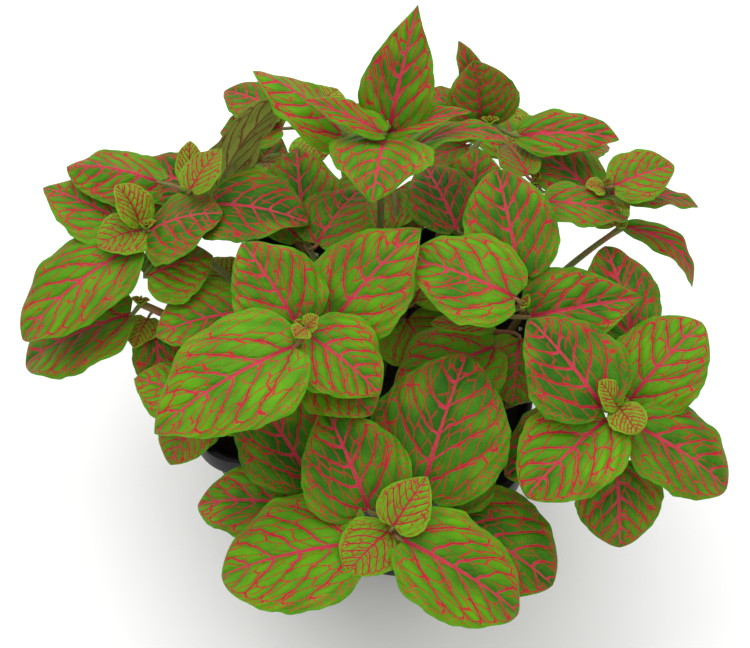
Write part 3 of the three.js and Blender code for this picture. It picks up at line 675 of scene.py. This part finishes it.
def makeBlade(leaf, tip, seed):
    s = bladeSettings
    sheet = grownSheet if leaf.length > s["youngBelow"] else youngSheet
    t, u = sheet["t"], sheet["u"]
    away = np.abs(u)
    size = min(leaf.length / s["fullLength"], 1.0)
    rand = np.random.default_rng(seed)
    turns = rand.uniform(0, 2 * np.pi, 6)
    point = s["pointPower"] - s["pointSpread"] * rand.uniform()
    point = point if leaf.point is None else leaf.point

    # outline with small ripples
    half = leaf.width / 2 * outlineAt(t, point)
    broad, fine, finest = s["ripples"]
    ripple = broad * np.sin(9 * t + turns[0]) * np.sign(u)
    ripple = ripple + fine * np.sin(34 * t + turns[5] + u) + finest * np.sin(61 * t + u)
    half = half * (1 + ripple * away ** 2)
    v = u * half
    x = t * leaf.length - s["lobeShare"] * leaf.length * away ** s["lobeCurve"] * (1 - t) ** s["lobeFade"]

    # arch along the length, fold across it, waves of the margin and droop of the point
    bow = 4 * leaf.arch * t * (1 - t)
    curl = s["curlShare"] * leaf.fold + s["curlDrop"]
    section = leaf.fold * np.abs(v) - curl * v ** 2 / (leaf.width / 2)
    wave = np.sin(13 * t + turns[3] + np.sign(u)) + 0.6 * np.sin(23 * t + turns[4])
    wave = s["marginWave"] * size * away ** 4 * wave * np.minimum(t * (1 - t) * 8, 1)
    droop = s["pointDroop"] * size if leaf.droop is None else leaf.droop
    middle = bow + section + wave - droop * t ** 5

    # swellings between the side veins, and a keel under the midrib
    phase, band = sideVeins(t, u, half, leaf, point, turns)
    gap = np.abs(phase - np.round(phase)) * band
    puff = (1 - np.exp(-(gap / s["puffBesideVein"]) ** 2)) * (1 - away ** 6)
    puff = s["puff"] * size * puff * (1 - np.exp(-(np.abs(v) / s["puffBesideMidrib"]) ** 2))
    thick = (s["marginThickness"] + (s["thickness"] - s["marginThickness"]) * (1 - away ** 4)) / 2
    thick = thick * (s["youngThickness"] + (1 - s["youngThickness"]) * size)
    keel = s["keelHeight"] * size * np.exp(-(v / s["keelHalf"]) ** 2) * np.sqrt(1 - t)
    upper = np.stack([x, v, middle + puff + thick], axis=1)
    lower = np.stack([x, v, middle + 0.8 * puff - thick - keel], axis=1)
    points = np.concatenate([upper, lower]) @ turnOf(leaf).T + footOf(leaf, tip)

    # what the shaders read; the tone of the green is set through the seed place
    age = between(leaf.length, *s["ageLengths"])
    seedPlace = (seed * s["seedStep"]) % s["seedRange"]
    toneStep = leafFinish["toneStep"]
    if leaf.tone is not None:
        seedPlace += (leaf.tone - (toneStep * seedPlace) % 1) / toneStep
    twice = lambda columns: np.tile(np.stack(columns, axis=1), (2, 1))
    ones = np.ones_like(t)
    return {
        "points": points,
        "faces": sheet["faces"],
        "slots": sheet["slots"],
        "veinFlow": twice([phase, np.clip(band, *s["bandRange"]), half]),
        "leafPlace": twice([x, v, seedPlace * ones]),
        "leafShape": twice([t, away, age * ones]),
        "leafMap": twice([t, 0.5 + 0.5 * u]),
    }


stemSettings = {
    "foot": 1.35,  # radius where the stem leaves the soil
    "tip": 0.95,
    "knot": 0.32,  # swelling where a petiole leaves
    "sides": 12,
    "depth": 13,
    "soilTop": 80,
    "underSoil": 5,
    "lean": 0.25,
    "climb": 0.8,
    "bendLeast": 99,
    "petiole": 0.95,
    "petioleSides": 9,
    "fullLength": 32,  # the petiole of a blade of this length has the full radius
    "underBlade": 0.32,
    "vein": ((0.05, 0.58), (0.12, 0.46), (0.22, 0.34), (0.34, 0.2)),  # shares and radii under the blade
    "veinDepth": 0.42,
    "hairs": 170,
    "petioleHairs": 28,
    "hairLength": (0.35, 0.8),
    "hairRadius": 0.05,
    "hairAngles": (0, 2.1, 4.2),
    "firstSeed": 900,
    "budSeed": 3000,
    "seedsPerStem": 40,
    "bud": ((4.2, 38), (4.0, 42), (2.8, 62), (2.6, 66)),  # length and rise of the leaves of the tip bud
}


def skinPart(points, faces):  # a part without veins, in the third material
    return {"points": np.array(points), "faces": faces, "slots": [2] * len(faces)}


def sweepTube(path, radii, sides):
    path = np.array(path, float)
    ways = np.gradient(path, axis=0)
    ways /= np.linalg.norm(ways, axis=1)[:, None]
    side = np.cross(ways[0], (0.31, 0.95, 0.05))  # any way that no stem runs in
    points, angles = [], np.arange(sides) * 2 * np.pi / sides
    for place, way, radius in zip(path, ways, radii):
        side = side - way * side.dot(way)
        side /= np.linalg.norm(side)
        other = np.cross(way, side)
        points += [place + radius * (math.cos(a) * side + math.sin(a) * other) for a in angles]
    first, last = len(points), len(points) + 1
    points += [path[0], path[-1]]
    faces = []
    for ring in range(len(path) - 1):
        for i in range(sides):
            a, b = ring * sides + i, ring * sides + (i + 1) % sides
            faces.append([a, b, b + sides, a + sides])
    top = (len(path) - 1) * sides
    for i in range(sides):
        j = (i + 1) % sides
        faces += [[first, j, i], [last, top + i, top + j]]
    return skinPart(points, faces)


def makeHairs(path, radii, count, rand):  # thin three-sided spikes, sunk a little into the skin
    s = stemSettings
    points, faces = [], []
    path = np.array(path, float)
    for _ in range(count):
        place = rand.uniform(0, len(path) - 1.001)
        i = int(place)
        centre = path[i] + (path[i + 1] - path[i]) * (place - i)
        way = path[i + 1] - path[i]
        way /= np.linalg.norm(way)
        out = np.cross(way, rand.normal(size=3))
        out /= np.linalg.norm(out)
        lean = out + 0.4 * rand.normal(size=3)
        lean /= np.linalg.norm(lean)
        side = np.cross(out, way)
        root = centre + out * radii[i] * 0.94
        n = len(points)
        for a in s["hairAngles"]:
            points.append(root + s["hairRadius"] * (math.cos(a) * way + math.sin(a) * side))
        points.append(root + lean * rand.uniform(*s["hairLength"]))
        faces += [[n, n + 2, n + 1], [n, n + 1, n + 3], [n + 1, n + 2, n + 3], [n + 2, n, n + 3]]
    return skinPart(points, faces)


def stemPath(plan, count):  # a curve that climbs first and leans over later
    s = stemSettings
    foot = np.array([*plan.root, s["soilTop"]], float)
    tip = np.array(plan.tip, float)
    bend = foot + (tip - foot) * s["lean"]
    bend[2] = max(foot[2] + s["climb"] * (tip[2] - foot[2]), s["bendLeast"])
    t = np.linspace(0, 1, count)[:, None]
    return (1 - t) ** 2 * foot + 2 * t * (1 - t) * bend + t ** 2 * tip


def petioleStart(plan, foot):  # the nearest place on the stem, rather below the blade than above it
    cost = lambda p: np.linalg.norm(p - foot) + 0.6 * max(p[2] - foot[2] + 2, 0)
    return min(stemPath(plan, 14), key=cost)


def makePetiole(leaf, tip, start):
    s = stemSettings
    turn, foot = turnOf(leaf), footOf(leaf, tip)
    scale = min(leaf.length / s["fullLength"], 1.0)
    way = turn @ np.array([1.0, 0, 0])
    low = turn @ np.array([0, 0, -s["underBlade"] * scale])
    a, d = start, foot + low
    b = start + 0.45 * (foot - start)
    c = foot + low - 0.3 * np.linalg.norm(foot - start) * way
    path, radii = [], []
    for k in np.linspace(0, 1, 8):
        path.append((1 - k) ** 3 * a + 3 * k * (1 - k) ** 2 * b + 3 * k ** 2 * (1 - k) * c + k ** 3 * d)
        radii.append((0.95 - 0.25 * k) * (0.45 + 0.55 * scale) * s["petiole"])
    for t, radius in s["vein"]:
        z = 4 * leaf.arch * t * (1 - t) - s["veinDepth"] * scale
        path.append(turn @ np.array([t * leaf.length, 0, z]) + foot)
        radii.append(radius * (0.4 + 0.6 * scale))
    return path, radii


def joinParts(name, parts, materials):
    points = np.concatenate([part["points"] for part in parts]) * mm
    faces, slots, base = [], [], 0
    for part in parts:
        faces += [[i + base for i in face] for face in part["faces"]]
        slots += part["slots"]
        base += len(part["points"])
    mesh = bpy.data.meshes.new(name)
    mesh.from_pydata(points.tolist(), [], faces)
    for material in materials:
        mesh.materials.append(material)
    mesh.polygons.foreach_set("material_index", slots)

    def gather(key, width):  # parts without veins have zeros
        return np.concatenate([part.get(key, np.zeros((len(part["points"]), width))) for part in parts])

    for key in ("veinFlow", "leafPlace", "leafShape"):
        attribute = mesh.attributes.new(key, "FLOAT_VECTOR", "POINT")
        attribute.data.foreach_set("vector", gather(key, 3).ravel())
    corners = np.zeros(len(mesh.loops), int)
    mesh.loops.foreach_get("vertex_index", corners)
    mesh.uv_layers.new(name="leafMap").data.foreach_set("uv", gather("leafMap", 2)[corners].ravel())
    mesh.update()
    piece = bpy.data.objects.new(name, mesh)
    bpy.context.scene.collection.objects.link(piece)
    return piece


def deselectAll():
    if bpy.context.mode != "OBJECT":
        bpy.ops.object.mode_set(mode="OBJECT")
    bpy.ops.object.select_all(action="DESELECT")


def joinPieces(pieces):  # into the first one
    deselectAll()
    for piece in pieces:
        piece.select_set(True)
    bpy.context.view_layer.objects.active = pieces[0]
    bpy.ops.object.join()
    return pieces[0]


def turnFacesOut():
    bpy.ops.mesh.select_all(action="SELECT")
    bpy.ops.mesh.normals_make_consistent(inside=False)
    deselectAll()


def smoothByAngle(piece, degrees):
    deselectAll()
    piece.select_set(True)
    bpy.context.view_layer.objects.active = piece
    bpy.ops.object.shade_smooth_by_angle(angle=math.radians(degrees))


def makeBud(plan, seed):  # the smallest leaves, still folded together at the tip
    rand = np.random.default_rng(seed)
    turn = rand.uniform(0, 90)
    parts = []
    for i, (length, rise) in enumerate(stemSettings["bud"]):
        heading = turn + 180 * i + (90 if i > 1 else 0) + rand.uniform(-12, 12)
        leaf = Leaf(0, 0, 0.3, heading, rise, length, length * 0.8, 0, 0.35, 0.5)
        parts.append(makeBlade(leaf, plan.tip, seed * 5 + i))
    return parts


def makeLeafyStem(plan, number):
    s = stemSettings
    rand = np.random.default_rng(s["firstSeed"] + number)
    curve = stemPath(plan, 15)
    ground = np.array([*plan.root, s["soilTop"]], float)
    path = [ground - (0, 0, s["depth"]), ground - (0, 0, s["underSoil"]), *curve]
    radii = np.linspace(s["foot"], s["tip"], len(path))
    plainRadii = radii.copy()
    parts, petioles = [], []
    for i, row in enumerate(plan.leaves):
        leaf = Leaf(*row)
        start = petioleStart(plan, footOf(leaf, plan.tip))
        near = np.argmin([np.linalg.norm(p - start) for p in path])
        radii[near] = plainRadii[near] + s["knot"]
        parts.append(makeBlade(leaf, plan.tip, s["seedsPerStem"] * number + i))
        petioles.append(makePetiole(leaf, plan.tip, start))
    parts += makeBud(plan, s["budSeed"] + number)
    parts.append(sweepTube(path, radii, s["sides"]))
    parts.append(makeHairs(path[2:], radii[2:], s["hairs"], rand))
    for petiolePath, petioleRadii in petioles:
        parts.append(sweepTube(petiolePath, petioleRadii, s["petioleSides"]))
        parts.append(makeHairs(petiolePath[:8], petioleRadii[:8], s["petioleHairs"], rand))
    name = plan.node.replace("leafy_stem", "leafyStem")
    piece = joinParts(name, parts, [upperFace, lowerFace, stemSkin])
    smoothByAngle(piece, bladeSettings["smoothAngle"])
    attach(piece, "root")
    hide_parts(plan.node)


for stemNumber, stemPlan in enumerate(leafyStems):
    makeLeafyStem(stemPlan, stemNumber)
print("leafy stems made:", len(leafyStems))

potSettings = {
    "side": 105.0,
    "height": 90.0,
    "baseSide": 69.0,
    "wall": 1.3,
    "bandHeight": 8.5,
    "bandStep": 2.2,
    "bandWall": 2.1,
    "edge": 0.7,
    "cornerShare": 0.286,
    "cornerSteps": 14,
    "drainRadius": 4.0,
    "drainReach": 24.0,
    "drainCount": 8,
    "drainSides": 28,
    "soften": 0.28,
    "softenSteps": 3,
    "softenAngle": 28,
    "smoothAngle": 35,
    "specular": 0.15,
    "roughness": (0.34, 0.5),
    "grain": (0.3, 0.7),
    "grainScale": 3.0,
    "cloudScale": 0.05,
    "clouds": (0.35, 0.7),  # where the plastic turns from the darker black to the lighter one
    "dustScale": 0.6,
    "specks": (0.6, 0.8),
    "dustyClouds": ((0.4, 0.6), (0.2, 1.0)),
    "bump": (0.00008, 0.6),
    "black": (srgb(6, 6, 8), srgb(14, 14, 17)),
    "dust": srgb(104, 98, 90),
    "dustShare": 0.22,
}


def roundedSquare(halfSide, share, steps):  # a flat face, all selected, left in edit mode
    deselectAll()
    bpy.ops.mesh.primitive_plane_add(size=2 * halfSide * mm, location=(0, 0, 0))
    bpy.ops.object.mode_set(mode="EDIT")
    bpy.ops.mesh.select_all(action="SELECT")
    bpy.ops.mesh.bevel(affect="VERTICES", offset=share * halfSide * mm, segments=steps)
    bpy.ops.mesh.select_all(action="SELECT")
    return bpy.context.active_object


def climb(profile):  # extrudes the selected face from each half side and height to the next
    for (half, z), (nextHalf, nextZ) in zip(profile, profile[1:]):
        bpy.ops.mesh.extrude_region_move(TRANSFORM_OT_translate={"value": (0, 0, (nextZ - z) * mm)})
        share = nextHalf / half
        bpy.ops.transform.resize(value=(share, share, 1), center_override=(0, 0, nextZ * mm))


def bodyHalf(z):
    s = potSettings
    low, high = s["baseSide"] / 2, s["side"] / 2 - s["bandStep"]
    return low + (high - low) * z / (s["height"] - s["bandHeight"])


def makePlastic():
    s = potSettings
    material, tree, shader = newMaterial("potPlastic", s["specular"])
    place = objectPlace(tree, 1 / mm)
    cloudy = noise(tree, place, s["cloudScale"], 3.0)
    grain = noise(tree, place, s["grainScale"], 3.0)
    colour = mixColour(tree, remap(tree, cloudy, s["clouds"]), *s["black"])
    specks = remap(tree, noise(tree, place, s["dustScale"], 4.0), s["specks"], (0.0, s["dustShare"]))
    dust = calc(tree, "MULTIPLY", specks, remap(tree, cloudy, *s["dustyClouds"]))
    colour = mixColour(tree, dust, colour, s["dust"])
    roughness = remap(tree, grain, s["grain"], s["roughness"])
    finishSurface(tree, shader, colour, grain, s["bump"], roughness)
    return material


def makeDrainPins():  # cylinders where the drain holes go, joined to one
    s = potSettings
    pins = []
    sides, radius, depth = s["drainSides"], s["drainRadius"] * mm, 4 * s["wall"] * mm
    for i in range(s["drainCount"]):
        angle = 2 * math.pi * (i + 0.5) / s["drainCount"]
        place = (s["drainReach"] * math.cos(angle) * mm, s["drainReach"] * math.sin(angle) * mm, 0)
        bpy.ops.mesh.primitive_cylinder_add(vertices=sides, radius=radius, depth=depth, location=place)
        pins.append(bpy.context.active_object)
    return joinPieces(pins)


def makePot():
    s = potSettings
    half, edge, wall = s["side"] / 2, s["edge"], s["wall"]
    bandFoot = s["height"] - s["bandHeight"]
    bodyTop = half - s["bandStep"]
    profile = [
        (s["baseSide"] / 2 - edge, 0),
        (bodyHalf(edge), edge),
        (bodyTop, bandFoot),
        (half - edge, bandFoot),
        (half, bandFoot + edge),
        (half, s["height"] - edge),
        (half - edge, s["height"]),
        (half - s["bandWall"] + edge, s["height"]),
        (half - s["bandWall"], s["height"] - edge),
        (half - s["bandWall"], bandFoot + s["bandWall"]),
        (bodyTop - wall, bandFoot - edge),
        (bodyHalf(wall) - wall, wall),
    ]
    pot = roundedSquare(profile[0][0], s["cornerShare"], s["cornerSteps"])
    climb(profile)
    turnFacesOut()
    pins = makeDrainPins()
    cut = pot.modifiers.new("drains", "BOOLEAN")
    cut.object = pins
    cut.operation = "DIFFERENCE"
    soften = pot.modifiers.new("soften", "BEVEL")
    soften.width = s["soften"] * mm
    soften.segments = s["softenSteps"]
    soften.limit_method = "ANGLE"
    soften.angle_limit = math.radians(s["softenAngle"])
    deselectAll()
    bpy.context.view_layer.objects.active = pot
    for modifier in list(pot.modifiers):
        bpy.ops.object.modifier_apply(modifier=modifier.name)
    bpy.data.objects.remove(pins)
    pot.name = "potShell"
    pot.data.materials.clear()
    pot.data.materials.append(makePlastic())
    smoothByAngle(pot, s["smoothAngle"])
    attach(pot, "root")
    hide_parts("pot")


makePot()
print("pot made")

soilSettings = {
    "top": 80.0,
    "drop": 2.5,  # how much lower it lies at the pot than in the middle
    "dropReach": 46.5,
    "edgeDrop": 0.4,
    "gap": 0.35,
    "cells": 84,
    "rough": 0.75,
    "lumps": ((0.17, 0.8), (0.43, 0.5), (1.1, 0.28)),  # how close and how high the lumps are
    "mix": ((srgb(13, 9, 7), srgb(36, 26, 19)), 0.9),  # colours and how fine they change
    "bark": ((srgb(58, 38, 24), srgb(104, 74, 48)), 0.7),
    "perlite": ((srgb(196, 192, 182), srgb(232, 230, 222)), 1.4),
    "specular": 0.2,
    "roughness": 0.92,
    "grain": (0.36, 0.66),
    "bump": (0.0006, 0.9),
    "smoothAngle": 40,
    "seed": 77,
    "crumbs": 620,
    "barks": 90,
    "pearls": 70,
    "dents": 0.22,
    "tilt": 0.6,
    "clear": 3,  # grains stay this far from the pot
    "proud": 0.25,
}


def makeSoilMaterial(name, colours, scale):
    s = soilSettings
    material, tree, shader = newMaterial(name, s["specular"], s["roughness"])
    grain = noise(tree, objectPlace(tree, 1 / mm), scale, 4.0, 0.65)
    colour = mixColour(tree, remap(tree, grain, s["grain"]), *colours)
    finishSurface(tree, shader, colour, grain, s["bump"])
    return material


def soilHeight(x, y):
    s = soilSettings
    reach = max(abs(x), abs(y)) / s["dropReach"]
    z = s["top"] - s["drop"] * reach ** 2
    for scale, share in s["lumps"]:
        lump = s["rough"] * share * math.sin(scale * x * 1.3 + 2.1 * math.sin(scale * y))
        z += lump * math.cos(scale * y * 1.1 + 1.7 * math.sin(scale * x * 0.8))
    return z


def scatterGrains(base, count, sizes, shape, half, corner, rand):  # copies of one grain, lying on the soil
    s = soilSettings
    copies = []
    for _ in range(count):
        x, y = rand.uniform(-half + s["clear"], half - s["clear"], 2)
        if min(abs(x), abs(y)) > half - corner:
            continue
        size = rand.uniform(*sizes)
        copy = base.copy()
        copy.data = base.data.copy()
        turn = Matrix.Rotation(rand.uniform(0, 2 * math.pi), 4, "Z")
        turn = turn @ Matrix.Rotation(rand.uniform(-s["tilt"], s["tilt"]), 4, "X")
        z = soilHeight(x, y) + s["proud"] * size * shape[2]
        place = Matrix.Translation((x * mm, y * mm, z * mm))
        stretch = Matrix.Diagonal((*(size * k * mm for k in shape), 1))
        copy.data.transform(place @ turn @ stretch)
        bpy.context.scene.collection.objects.link(copy)
        copies.append(copy)
    return copies


def makeSoil():
    s = soilSettings
    rand = np.random.default_rng(s["seed"])
    inside = lambda z: bodyHalf(z) - potSettings["wall"] - s["gap"]
    top = s["top"] - s["drop"]
    half = inside(top)
    corner = potSettings["cornerShare"] * half
    deselectAll()
    bpy.ops.mesh.primitive_grid_add(
        x_subdivisions=s["cells"], y_subdivisions=s["cells"], size=2 * half * mm, location=(0, 0, 0))
    soil = bpy.context.active_object
    for vertex in soil.data.vertices:  # round corners and an uneven top
        x, y = vertex.co.x / mm, vertex.co.y / mm
        overX, overY = abs(x) - (half - corner), abs(y) - (half - corner)
        if overX > 0 and overY > 0 and math.hypot(overX, overY) > corner * 0.999:
            share = corner / math.hypot(overX, overY)
            x = math.copysign(half - corner + overX * share, x)
            y = math.copysign(half - corner + overY * share, y)
        onEdge = vertex.co.x and max(abs(vertex.co.x), abs(vertex.co.y)) > half * mm * 0.9999
        z = top - s["edgeDrop"] if onEdge else soilHeight(x, y)
        vertex.co = (x * mm, y * mm, z * mm)
    bpy.ops.object.mode_set(mode="EDIT")
    bpy.ops.mesh.select_all(action="DESELECT")
    bpy.ops.mesh.select_non_manifold()
    foot = potSettings["wall"] + s["gap"]
    down = (foot - top + s["edgeDrop"]) * mm
    bpy.ops.mesh.extrude_edges_move(TRANSFORM_OT_translate={"value": (0, 0, down)})
    share = inside(foot) / half
    bpy.ops.transform.resize(value=(share, share, 1), center_override=(0, 0, foot * mm))
    bpy.ops.mesh.edge_face_add()
    turnFacesOut()
    mix = makeSoilMaterial("pottingMix", *s["mix"])
    bark = makeSoilMaterial("barkChips", *s["bark"])
    perlite = makeSoilMaterial("perlite", *s["perlite"])
    soil.data.materials.append(mix)
    grains = [soil]
    kinds = (  # count, steps of the sphere, sizes, shape and material
        (s["crumbs"], 1, (0.7, 1.9), (1, 1, 0.8), mix),
        (s["barks"], 1, (1.2, 2.8), (1, 0.42, 0.22), bark),
        (s["pearls"], 2, (0.6, 1.3), (1, 0.95, 0.85), perlite),
    )
    for count, steps, sizes, shape, material in kinds:
        deselectAll()
        bpy.ops.mesh.primitive_ico_sphere_add(subdivisions=steps, radius=1, location=(0, 0, 0))
        base = bpy.context.active_object
        for vertex in base.data.vertices:
            vertex.co *= 1 + rand.uniform(-s["dents"], s["dents"])
        base.data.materials.append(material)
        grains += scatterGrains(base, count, sizes, shape, half, corner, rand)
        bpy.data.objects.remove(base)
    joinPieces(grains)
    soil.name = "pottingSoil"
    smoothByAngle(soil, s["smoothAngle"])
    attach(soil, "root")
    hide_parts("soil")


makeSoil()
print("potting mix made")

studio = {
    "floorSize": 8.0,
    "floorGap": 0.0002,
    "paper": (srgb(250, 250, 251), srgb(253, 253, 253)),
    "paperScale": 3.0,
    "paperSpecular": 0.2,
    "paperRoughness": 0.8,
    "lights": (  # name, place in m and power
        ("keyLight", (-0.3, 0.5, 1.35), 18.5),
        ("fillLight", (0.5, -0.9, 1.2), 5.5),
    ),
    "lightSize": 1.8,
    "skyStrength": 0.73,
}
view = {
    "azimuth": 10.0,
    "elevation": 53.0,
    "distance": 600.0,
    "target": (-2.5, 8.0, 90.0),
    "focalPixels": 1820.0,
    "imageWidth": 750.0,
    "sensor": 36.0,
    "clipStart": 0.01,
}


def makeStudio():
    deselectAll()
    bpy.ops.mesh.primitive_plane_add(size=studio["floorSize"], location=(0, 0, -studio["floorGap"]))
    floor = bpy.context.active_object
    floor.name = "floor"
    material, tree, shader = newMaterial("floorPaper", studio["paperSpecular"], studio["paperRoughness"])
    paper = noise(tree, objectPlace(tree, 1.0), studio["paperScale"], 2.0)
    tree.links.new(mixColour(tree, paper, *studio["paper"]), shader.inputs["Base Color"])
    floor.data.materials.append(material)
    bpy.ops.object.transform_apply(location=True, rotation=False, scale=False)
    target = Vector(view["target"]) * mm
    for name, place, power in studio["lights"]:
        lamp = bpy.data.lights.new(name, "AREA")
        lamp.size = studio["lightSize"]
        lamp.energy = power
        lampObject = bpy.data.objects.new(name, lamp)
        lampObject.location = place
        lampObject.rotation_euler = (target - Vector(place)).to_track_quat("-Z", "Y").to_euler()
        bpy.context.scene.collection.objects.link(lampObject)
    world = bpy.data.worlds.new("softSky")
    world.use_nodes = True
    background = world.node_tree.nodes["Background"]
    background.inputs["Color"].default_value = (1, 1, 1, 1)
    background.inputs["Strength"].default_value = studio["skyStrength"]
    bpy.context.scene.world = world
    bpy.context.scene.view_settings.view_transform = "Standard"


def makeCamera():
    azimuth, elevation = math.radians(view["azimuth"]), math.radians(view["elevation"])
    flat = math.cos(elevation)
    back = Vector((math.sin(azimuth) * flat, -math.cos(azimuth) * flat, math.sin(elevation)))
    data = bpy.data.cameras.new("photoCamera")
    data.sensor_width = view["sensor"]
    data.lens = view["focalPixels"] / view["imageWidth"] * view["sensor"]
    data.clip_start = view["clipStart"]
    camera = bpy.data.objects.new("photoCamera", data)
    camera.location = (Vector(view["target"]) + back * view["distance"]) * mm
    camera.rotation_euler = (-back).to_track_quat("-Z", "Y").to_euler()
    bpy.context.scene.collection.objects.link(camera)
    bpy.context.scene.camera = camera


makeStudio()
makeCamera()
print("floor, light and camera made")
